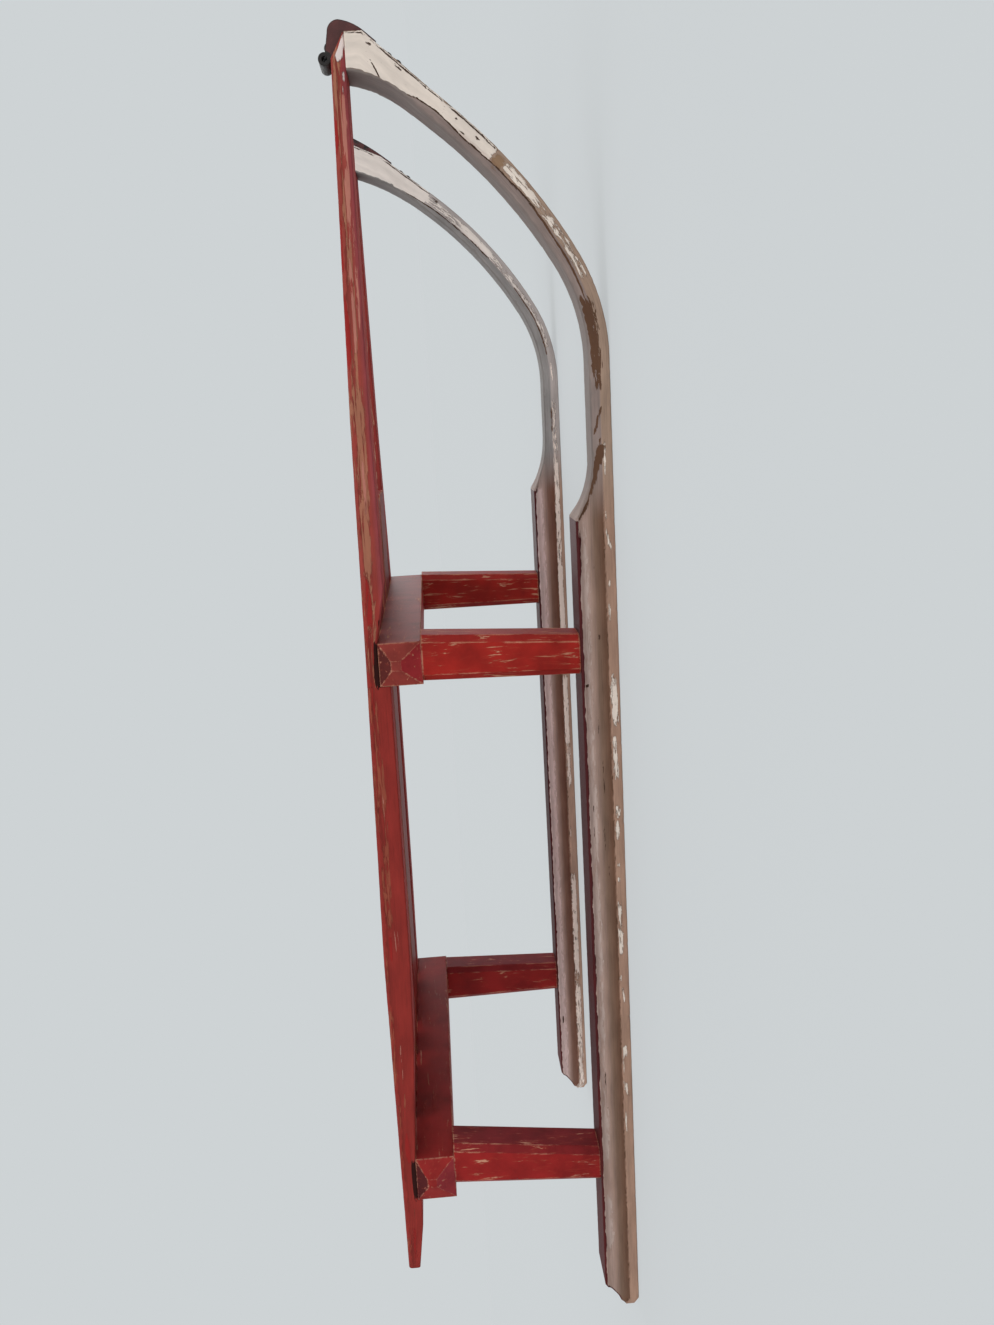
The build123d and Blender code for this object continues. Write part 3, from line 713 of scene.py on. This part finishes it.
def paint_runner(piece, field, side, marks, cream):
    """Tone of the wood and the coats of paint over a runner.

    The photographed side has its marks at their places, and the other one has them in the other order along
    the straight sole.
    """
    depth, girth, whole = field["depth"], np.abs(field["girth"]), field["along"]
    seen = field["girth"] < 0
    along = np.where(seen | (whole > STRAIGHT_END), whole, STRAIGHT_END - whole)
    under, top = girth < 1, girth >= 2
    flank = ~under & ~top
    lip = flank * np.clip((values_at(whole, marks["ends"]) - depth) / 0.5 + 0.5, 0, 1)
    cove = flank * (1 - lip)

    # Bare wood by its share of the cove's height, darker low and lighter high as painted shade and light, and the
    # wash left in the cove's upper half
    low, middle, high = (tones(whole, marks[key]) for key in ("low", "mid", "high"))
    share = (depth - COVE_FOOT) / COVE_MOUTH
    tone = blend(low, middle, np.clip((share - 0.08) / 0.3, 0, 1))
    tone = blend(tone, high, np.clip((share - 0.36) / 0.32, 0, 1))
    washed = values_at(along, marks["washed"]) * np.clip((share - 0.5) / 0.3, 0, 1) * cove
    # Under the deck the wash darkens towards red-brown: painted shade
    wash_and_shade_tone = blend(tones(along, marks["wash"]), "#7a4a40", marks["deck_shade"] * np.clip((depth - 23) / 4, 0, 1))
    tone = blend(tone, wash_and_shade_tone, 0.5 * np.clip(washed, 0, 1))
    put_coat(piece, "wash", wash_and_shade_tone, np.where(flank, washed, -1.0))
    tone = blend(tone, tones(whole, marks["lip"]), lip)
    # Top faces greyer and darker: painted shade on the faces that look up
    tone = blend(tone, "#6f6a66", 0.5 * top)
    tone = blend(tone, "#93745a", 1.0 * under)
    put_field(piece, "tone", tone)

    # Cream on the lip, which past a length covers all of it but its lowest part
    reach = values_at(along, marks["cream"]) * window(depth, *marks["span"], 1.4)
    full = whole > marks["full"]
    reach = np.where(full, values_at(whole, marks["cream"]) - 0.6 * np.clip((1.8 - depth) / 1.2, 0, 1), reach)
    reach = np.maximum(reach, spots(along, depth, marks["flakes"]))
    reach = np.where(under, np.where(full, 0.75, 0.15 * (whole < 1000)), reach)
    skin = blend(tones(whole, marks["white"]), cream, 0.2 + 0 * depth)
    put_coat(piece, "pale", skin, np.where(top, -1.0, reach * (lip + under)))

    # Brown bare wood at the shoulder, worn through on the bend and along the joint, and a brown line inside the lip,
    # which is painted shade on the lip's upper arris
    brown = 1.35 * band(whole, depth, marks["shoulder"], 2.6)
    brown = np.maximum(brown, spots(whole, depth, marks["worn"]) * np.clip(16.4 - depth, 0, 1))
    brown = np.maximum(brown, 1.1 * band(whole, depth, marks["joint"], 0.7))
    brown = np.maximum(brown, 0.8 * band(whole, depth, LIP_SHADE_LINE, 0.45))
    put_coat(piece, "brown", tones(whole, BROWN_TONES), np.where(flank, brown, -1.0))

    # Red of the deck, down to a wavy edge on the sides, in dark reds that are the paint darkened as painted shade
    ragged = 0.4 * wander(whole, WAVES["deck_edge"], RNG_SEED + side)
    red = 2.4 * (whole < SHOULDER + 1.0) * np.clip((depth - marks["edge"] - ragged) / 1.4 + 0.3, 0, 1)
    red = np.maximum(red, spots(along, depth, marks["red"]))
    red = np.where(top, 1.4 * (whole < SHOULDER), red * flank) - 0.1
    put_coat(piece, "red", tones(whole + 90 * wander(whole, WAVES["deck_tone"], 3), DECK_SHADED_REDS), red)

    # Dark chips, the lip's broken edge up the horn and the horn's lower arris
    chips = spots(whole, depth, marks["dark"])
    edge = [(station, end) for station, end in marks["ends"] if 980 < station < 1150]
    chips = np.maximum(chips, 0.95 * band(whole, depth, edge, 0.65))
    chips = np.maximum(chips, 0.7 * np.exp(-(((depth - 1.6) / 0.8) ** 2)) * full * lip)
    put_coat(piece, "dark", tones(whole, CHIP_TONES), np.where(flank, chips, -1.0))


class SLED_OT_runners(bpy.types.Operator):
    """Both runners, with worn arrises, dents and flaked paint."""

    bl_idname = "sled.runners"
    bl_label = "Runners"

    def execute(self, context):
        sizes, colours = context.scene.sled_sizes, context.scene.sled_colours
        coats = [
            ("wash", 0.3, None), ("pale", 1.0, "#5a4336"), ("brown", -0.6, None), ("red", 0.8, "#3a1512"),
            ("dark", -1.0, None),
        ]
        material = coated_wood("flaked_oil_paint_on_ash", (11, 1.5), (40, 0.8), coats)
        for name, row in SIDES.items():
            low, high, along = runner_lines(row)
            arris = {}
            for sign in (1, -1):
                for number, edge in enumerate(("low", "high")):
                    seed = RNG_SEED + 40 * row["side"] + 10 * number + sign + 100
                    drift = wander(along, WAVES["runner_arris"], seed)
                    dents = np.clip(wander(along, WAVES["runner_dents"], seed + 3) - 1.1, 0, 1)
                    radius = sizes.arris / MM * (1 + 0.35 * drift) + sizes.dent / MM * dents
                    arris[sign, edge] = np.clip(radius, *RUNNER_ARRIS_LIMITS)
            centre_y = row["side"] * RUNNER_Y
            piece, field = bar(
                "runner_" + name + "_worn", low, high, along, centre_y, RUNNER_HALF, cove_inset(row), arris)
            paint_runner(piece, field, row["side"], RUNNER_PAINT[name], colours.cream)
            piece.data.materials.append(material)
            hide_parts("runner_" + name)
            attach(piece, "root")
        return {"FINISHED"}


# Marks on the rails' photographed sides, by station and height about the seat line: the paint's tone (base) and the
# rubbed wood's (bare) behind and before the front bridge, how far it is rubbed (worn) along a middle line, and blots
# of four other coats.
RAIL_PAINT = {
    "right": {
        "base": [(640, "#872923"), (720, "#954239")],
        "bare": [(600, "#8f4736"), (660, "#9f6650")],
        "worn": [
            (58, 0.3), (310, 0.35), (320, 0.2), (395, 0.2), (410, 0.62), (575, 0.58), (600, 0.35), (645, 0.4),
            (665, 0.95), (830, 0.9), (850, 0.5), (1092, 0.5),
        ],
        "middle": [(58, 5.0), (400, 6.5), (600, 4.5), (750, 2.0), (900, -0.8), (1092, -3.5)],
        "spots": {
            "bright": [
                (184, 5.8, 15, 2.2, 0, 1.3), (84, 5.5, 22, 2.0, 0, 0.55), (380, 7.5, 12, 1.4, 0, 0.8),
                (680, 4.0, 26, 2.6, 0, 1.0), (885, 5.4, 28, 2.2, -0.01, 1.15), (950, 4.6, 22, 2.0, -0.02, 1.05),
                (1022, 3.0, 14, 2.0, 0, 1.05), (600, 7, 16, 1.6, 0, 0.8),
            ],
            "pink": [
                (385, 1.0, 13, 1.0, 0, 0.6), (770, 1.0, 24, 1.3, 0, 0.85), (905, -0.2, 34, 1.7, -0.01, 0.85),
                (985, -2.6, 38, 2.0, -0.01, 0.8), (1040, -4.6, 14, 1.6, 0, 0.85), (275, 5.6, 28, 0.7, 0, 0.55),
                (925, -4.6, 48, 1.7, 0, 0.68), (1005, -3.6, 42, 1.8, 0, 0.75), (388, 3.2, 14, 0.8, 0, 0.55),
                (505, 4.6, 16, 0.8, 0, 0.5),
            ],
            # The first two blots, just over the beams, are painted shadow of the beam ends
            "dark": [
                (151, 1.9, 20, 2.2, 0, 1.6), (628, 1.6, 18.5, 2.0, 0, 1.6), (660, -3.0, 5, 0.8, 0, 1.0),
                (505, 10.5, 46, 0.9, 0, 0.7),
            ],
            "white": [(1063, -5.6, 4, 1.4, 0, 0.8), (1054, -4.8, 4, 0.9, 0, 0.6), (1082, -4.4, 9, 3.0, -0.1, 1.3)],
        },
    },
    "left": {
        "base": [(0, "#852f2b")],
        "bare": [(600, "#955a45"), (660, "#a87662")],
        "worn": [(58, 0.35), (300, 0.5), (500, 0.35), (700, 0.65), (900, 0.5), (1092, 0.55)],
        "middle": [(58, 8.0), (400, 10.0), (800, 9.0), (1092, 9.0)],
        "spots": {
            "bright": [(250, 14, 30, 1.6, 0, 1.0), (560, 13, 22, 1.4, 0, 1.0), (940, 12, 26, 1.6, 0, 1.0)],
            "pink": [(330, 8, 20, 1.0, 0, 1.0), (730, 8, 26, 1.0, 0, 1.0), (1010, 9, 24, 1.2, 0, 1.0)],
            # Both blots, just over the beams, are painted shadow of the beam ends
            "dark": [(151, 8, 18, 0.9, 0, 1.2), (627, 8, 18, 0.9, 0, 1.2)],
            "white": [(1080, 10, 7, 2.6, 0, 1.1)],
        },
    },
}


def paint_rail(piece, field, side, marks, red):
    """Tone and coats of a rail: red with purplish lower parts, painted shade high on the sides, painted light
    underneath, and the wear and marks at their heights.
    """
    along, girth = field["along"], np.abs(field["girth"])
    above = field["z"] - seat_at(along)
    top, under = girth >= 2, girth < 1
    flank = ~top & ~under
    shift = wander(along, WAVES["rail_tone"], 5 + side)
    tone = blend(tones(along, marks["base"]), red, 0.25 + 0.15 * shift)
    tone = blend(tone, "#8a4048", flank * np.clip((-3 - above) / 5.0, 0, 0.6) * window(along, 640, 1200, 60))
    # The upper part of each side darker: painted shade under the rounded top arris
    tone = blend(tone, "#5e1f18", 0.75 * np.clip((field["depth"] - field["rise"] + 6.5) / 5, 0, 1) * flank)
    # Underside a lighter red: painted light
    tone = blend(tone, "#b8443f", 0.8 * under)
    put_field(piece, "tone", tone)

    centre = values_at(along, marks["middle"])
    worn = values_at(along, marks["worn"]) * np.exp(-(((above - centre) / 4.2) ** 2)) * flank
    drift = wander(along + 70 * field["girth"], WAVES["rail_top"], 8 + side)
    worn = np.maximum(worn, np.where(top, 0.35 + 0.1 * drift, 0.05))
    put_coat(piece, "bare", tones(along, marks["bare"]), worn)
    for name, code in RAIL_MARKS.items():
        reach = spots(along, above, marks["spots"][name])
        reach = reach - 4 * np.clip(girth - 2.0, 0, 1) if name == "bright" else np.where(flank, reach, -1.0)
        put_coat(piece, name, tones(along, [(0, code)]), reach)


class SLED_OT_rails(bpy.types.Operator):
    """Both seat rails, with worn arrises and rubbed red paint."""

    bl_idname = "sled.rails"
    bl_label = "Seat rails"

    def execute(self, context):
        coats = [
            ("bare", -1.0, None), ("pink", -0.3, None), ("bright", 0.6, None), ("dark", -1.0, None),
            ("white", 1.0, "#5a2a26"),
        ]
        material = coated_wood("rubbed_red_oil_paint_on_beech", (34, 2.2), (60, 0.6), coats)
        stations = [station for station, lift in RAIL_UNDERSIDE]
        top_stations = [*RAIL_STATIONS[:-1], TIP - TIP_EASE]
        for name, row in SIDES.items():
            under = [
                seat_at(station) if lift is None else rail_line(station, row["drop"], -1) + lift
                for station, lift in RAIL_UNDERSIDE
            ]
            x = np.unique(np.concatenate([np.linspace(stations[0], TIP, RAIL_STEPS), stations, [TIP - TIP_EASE]]))
            low = np.stack([x, np.interp(x, stations, under)], axis=1)
            tops = [rail_line(station, row["rise"], 1) for station in top_stations] + [under[-1] + TIP_THICK]
            high = np.stack([x, np.interp(x, top_stations + [TIP], tops)], axis=1)
            arris = {}
            for sign in (1, -1):
                for number, edge in enumerate(("low", "high")):
                    drift = wander(x, WAVES["rail_arris"], RNG_SEED + number * 5 + sign + row["side"])
                    arris[sign, edge] = np.clip(RAIL_ARRIS[number] * (1 + 0.25 * drift), *RAIL_ARRIS_LIMITS)
            piece, field = bar(
                "side_rail_" + name + "_worn", low, high, x, row["side"] * RAIL_Y, RAIL_HALF, no_inset, arris)
            paint_rail(piece, field, row["side"], RAIL_PAINT[name], context.scene.sled_colours.red)
            piece.data.materials.append(material)
            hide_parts("side_rail_" + name)
            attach(piece, "root")
        return {"FINISHED"}


# Finishes of the solids that keep their shape: a streak's size along each axis in millimetres, how far arrises and
# streaks are rubbed, the paint's colours by the way a face looks, and the wood's darker tone. These colours by
# facing are painted light and shade: the beams' lower facets are painted lighter and the upper ones darker, and the
# front faces of the rear legs darker.
ACROSS, UPRIGHT, LENGTHWISE = (4.1667, 38.462, 4.1667), (4.3478, 4.3478, 27.778), (66.667, 4.3478, 4.3478)
FINISHES = {
    "bridge_beam_front": (
        ACROSS, 0.7, 0.02,
        ("Z", [(0.0, "#a83630"), (0.27, "#8e242a"), (0.5, "#80332d"), (0.73, "#401a17"), (1.0, "#7a2420")]),
        "#9a6450"),
    "bridge_beam_rear": (
        ACROSS, 0.62, 0.04,
        ("Z", [(0.0, "#a42a28"), (0.27, "#8c3036"), (0.5, "#8c2422"), (0.73, "#401416"), (1.0, "#70201e")]),
        "#985a54"),
    "leg_front": (
        UPRIGHT, 0.54, 0.15,
        ("X", [(0.0, "#8a201a"), (0.4, "#921f18"), (0.6, "#94211a"), (1.0, "#8c231e")]),
        "#a86c54"),
    "leg_rear": (
        UPRIGHT, 0.5, 0.08,
        ("X", [(0.0, "#84201c"), (0.4, "#8c1e1b"), (0.6, "#8a2020"), (0.86, "#7c2224"), (1.0, "#762024")]),
        "#a46458"),
    "slat": (
        LENGTHWISE, 0.7, 0.12,
        ("Z", [(0.0, "#8a2622"), (0.5, "#80231e"), (1.0, "#8c2820")]),
        "#8f5c46"),
}


class SLED_OT_bridges(bpy.types.Operator):
    """Red paint for beams, legs and slats."""

    bl_idname = "sled.bridges"
    bl_label = "Bridges and slats"

    def execute(self, context):
        for start, finish in FINISHES.items():
            material = red_solid("worn_red_oil_paint_on_" + start, *finish)
            for name, piece in frame["nodes"].items():
                if name.startswith(start):
                    for slot in piece.material_slots:
                        slot.material = material
        return {"FINISHED"}


def nail_head(name, centre, forward, outward, radius):
    """Domed nail head with its rim sunk in the wood, closed below.

    A circle is carried round its axis, and its height falls off as the square root of 1 less nearly the square of
    the share of the radius.
    """
    turns = np.linspace(0, 2 * np.pi, NAIL_SIDES + 1)[:-1]
    ring, turn = np.meshgrid(np.linspace(0, 1, NAIL_RINGS), turns, indexing="ij")
    spoke = np.cos(turn)[..., None] * forward + np.sin(turn)[..., None] * np.array([0, 1, 0])
    dome = NAIL_DOME * np.sqrt(1 - 0.97 * ring**2) - NAIL_SUNK
    points = centre + (radius * ring)[..., None] * spoke + dome[..., None] * outward
    grid = np.arange(ring.size).reshape(ring.shape)
    after = np.roll(grid, -1, axis=1)
    faces = np.stack([grid[:-1], grid[1:], after[1:], after[:-1]], axis=-1).reshape(-1, 4)[:, ::-1]
    mesh = bpy.data.meshes.new("nail")
    mesh.from_pydata((points * MM).reshape(-1, 3), [], faces.tolist() + [grid[-1].tolist()])
    # The middle is a ring of no size, so its points are merged
    shell = bmesh.new()
    shell.from_mesh(mesh)
    bmesh.ops.remove_doubles(shell, verts=shell.verts, dist=0.001 * MM)
    shell.to_mesh(mesh)
    shell.free()
    mesh.shade_smooth()
    nail = bpy.data.objects.new(name, mesh)
    bpy.context.scene.collection.objects.link(nail)
    return nail


class SLED_OT_irons(bpy.types.Operator):
    """Forged tip irons and the nails that hold the horns."""

    bl_idname = "sled.irons"
    bl_label = "Tip irons and nails"

    def execute(self, context):
        sizes, colours = context.scene.sled_sizes, context.scene.sled_colours
        steel = forged_iron("rusty_nail_steel", None)
        for name, row in SIDES.items():
            eye = next(m["pos_m"] for m in frame["record"]["mounts"] if m["name"] == "tow_eye_" + name)
            material = forged_iron(
                "painted_forged_iron_" + name, colours.iron, (eye[0], 0.0, eye[2]), row["iron_paint"])
            for slot in frame["nodes"]["tip_iron_" + name].material_slots:
                slot.material = material
            foot, forward, inward = horn_foot(row)
            butt = (BUTT - foot[1]) / forward[1]
            forward = np.array([forward[0], 0, forward[1]])
            outward = -np.array([inward[0], 0, inward[1]])
            for number, (down, y) in enumerate(NAILS):
                centre = np.array([HEEL + foot[0], row["side"] * RUNNER_Y + y, foot[1]]) + (butt - down) * forward
                nail = nail_head(f"nail_{name}_{number + 1}", centre, forward, outward, sizes.nail / MM)
                nail.data.materials.append(steel)
                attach(nail, "root")
        return {"FINISHED"}


# Stage, in metres: the floor lies just under the soles, and the lamps are suns of a strength and a width in degrees.
# The photographed sled stands on its heels, so the picture's up is nearly the sled's forward.
FLOOR_Z = -0.0004
FLOOR_HALF = 30.0
FLOOR_GLOW = 0.75  # share of the floor's colour that no shadow darkens
SKY_LIGHT = 0.62
LAMPS = (
    ("key", 1.0, 50, (0.1, 1.0, -0.13)),
    ("back", 1.0, 40, (-0.2, -1.0, -0.2)),
    ("front", 1.0, 30, (-1.0, 0.25, -0.03)),
    ("top", 0.7, 60, (0.1, 0.2, -1.0)),
)
CAMERA_PLACE = (0.2733, -1.0563, 0.1439)
CAMERA_RIGHT = (-0.0552, -0.0638, -0.9964)
CAMERA_UP = (0.973, 0.2205, -0.068)


class SLED_OT_stage(bpy.types.Operator):
    """Pale floor, soft light and the camera at the photograph's angle."""

    bl_idname = "sled.stage"
    bl_label = "Stage"

    def execute(self, context):
        scene = context.scene
        scene.view_settings.view_transform = "Standard"
        backdrop = tuple(scene.sled_colours.backdrop) + (1.0,)

        world = bpy.data.worlds.new("soft_studio")
        world.use_nodes = True
        tree = world.node_tree
        tree.nodes.clear()
        light = add(tree, "Background", {"Color": (1, 1, 1, 1), "Strength": SKY_LIGHT})
        plain = add(tree, "Background", {"Color": backdrop, "Strength": 1.0})
        add(tree, "OutputWorld", (add(tree, "MixShader", (backdrop_rays(tree), light, plain)),))
        scene.world = world

        # Matt floor that shows the backdrop's colour to the camera, and over it a soft part of the real shadow
        material, tree = new_material("pale_floor_paint")
        matt = add(tree, "BsdfDiffuse", {"Color": backdrop})
        glow = add(tree, "Emission", {"Color": backdrop, "Strength": 1.0})
        share = add(tree, "Math", (backdrop_rays(tree), FLOOR_GLOW), operation="MULTIPLY")
        lit = add(tree, "MixShader", (share, matt, glow))
        behind = add(tree, "NewGeometry", out="Backfacing")
        open_below = add(tree, "BsdfTransparent")
        add(tree, "OutputMaterial", (add(tree, "MixShader", (behind, lit, open_below)),))
        corners = [(x * FLOOR_HALF, y * FLOOR_HALF, FLOOR_Z) for x, y in ((-1, -1), (1, -1), (1, 1), (-1, 1))]
        mesh = bpy.data.meshes.new("floor")
        mesh.from_pydata(corners, [], [(0, 1, 2, 3)])
        floor = bpy.data.objects.new("floor", mesh)
        floor.data.materials.append(material)
        scene.collection.objects.link(floor)

        for name, energy, angle, toward in LAMPS:
            lamp = bpy.data.lights.new(name, "SUN")
            lamp.energy = energy
            lamp.angle = math.radians(angle)
            holder = bpy.data.objects.new(name, lamp)
            scene.collection.objects.link(holder)
            holder.rotation_euler = Vector(toward).to_track_quat("-Z", "Y").to_euler()

        data = bpy.data.cameras.new("camera")
        data.sensor_fit = "VERTICAL"
        data.sensor_height = 24.0
        data.lens = scene.sled_sizes.lens
        camera = bpy.data.objects.new("camera", data)
        scene.collection.objects.link(camera)
        right = Vector(CAMERA_RIGHT).normalized()
        up = Vector(CAMERA_UP)
        up = (up - right * right.dot(up)).normalized()
        turn = Matrix((right, up, right.cross(up))).transposed().to_4x4()
        camera.matrix_world = Matrix.Translation(CAMERA_PLACE) @ turn
        scene.camera = camera
        return {"FINISHED"}


class SLED_PT_panel(bpy.types.Panel):
    """The sled's pieces and their sizes."""

    bl_idname = "SLED_PT_panel"
    bl_label = "Wooden sled"
    bl_space_type = "VIEW_3D"
    bl_region_type = "UI"
    bl_category = "Sled"

    def draw(self, context):
        for operator in OPERATORS:
            self.layout.operator(operator.bl_idname)
        for group in (context.scene.sled_sizes, context.scene.sled_colours):
            for key in group.bl_rna.properties.keys():
                if key not in ("rna_type", "name"):
                    self.layout.prop(group, key)


OPERATORS = (SLED_OT_runners, SLED_OT_rails, SLED_OT_bridges, SLED_OT_irons, SLED_OT_stage)
CLASSES = (SledSizes, SledColours, *OPERATORS, SLED_PT_panel)


def register():
    for cls in CLASSES:
        bpy.utils.register_class(cls)
    bpy.types.Scene.sled_sizes = PointerProperty(type=SledSizes)
    bpy.types.Scene.sled_colours = PointerProperty(type=SledColours)


def unregister():
    del bpy.types.Scene.sled_colours
    del bpy.types.Scene.sled_sizes
    for cls in reversed(CLASSES):
        bpy.utils.unregister_class(cls)


def main():
    """Registers the classes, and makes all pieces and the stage."""
    register()
    bpy.ops.sled.runners()
    bpy.ops.sled.rails()
    bpy.ops.sled.bridges()
    bpy.ops.sled.irons()
    bpy.ops.sled.stage()


if __name__ == "__main__":
    main()
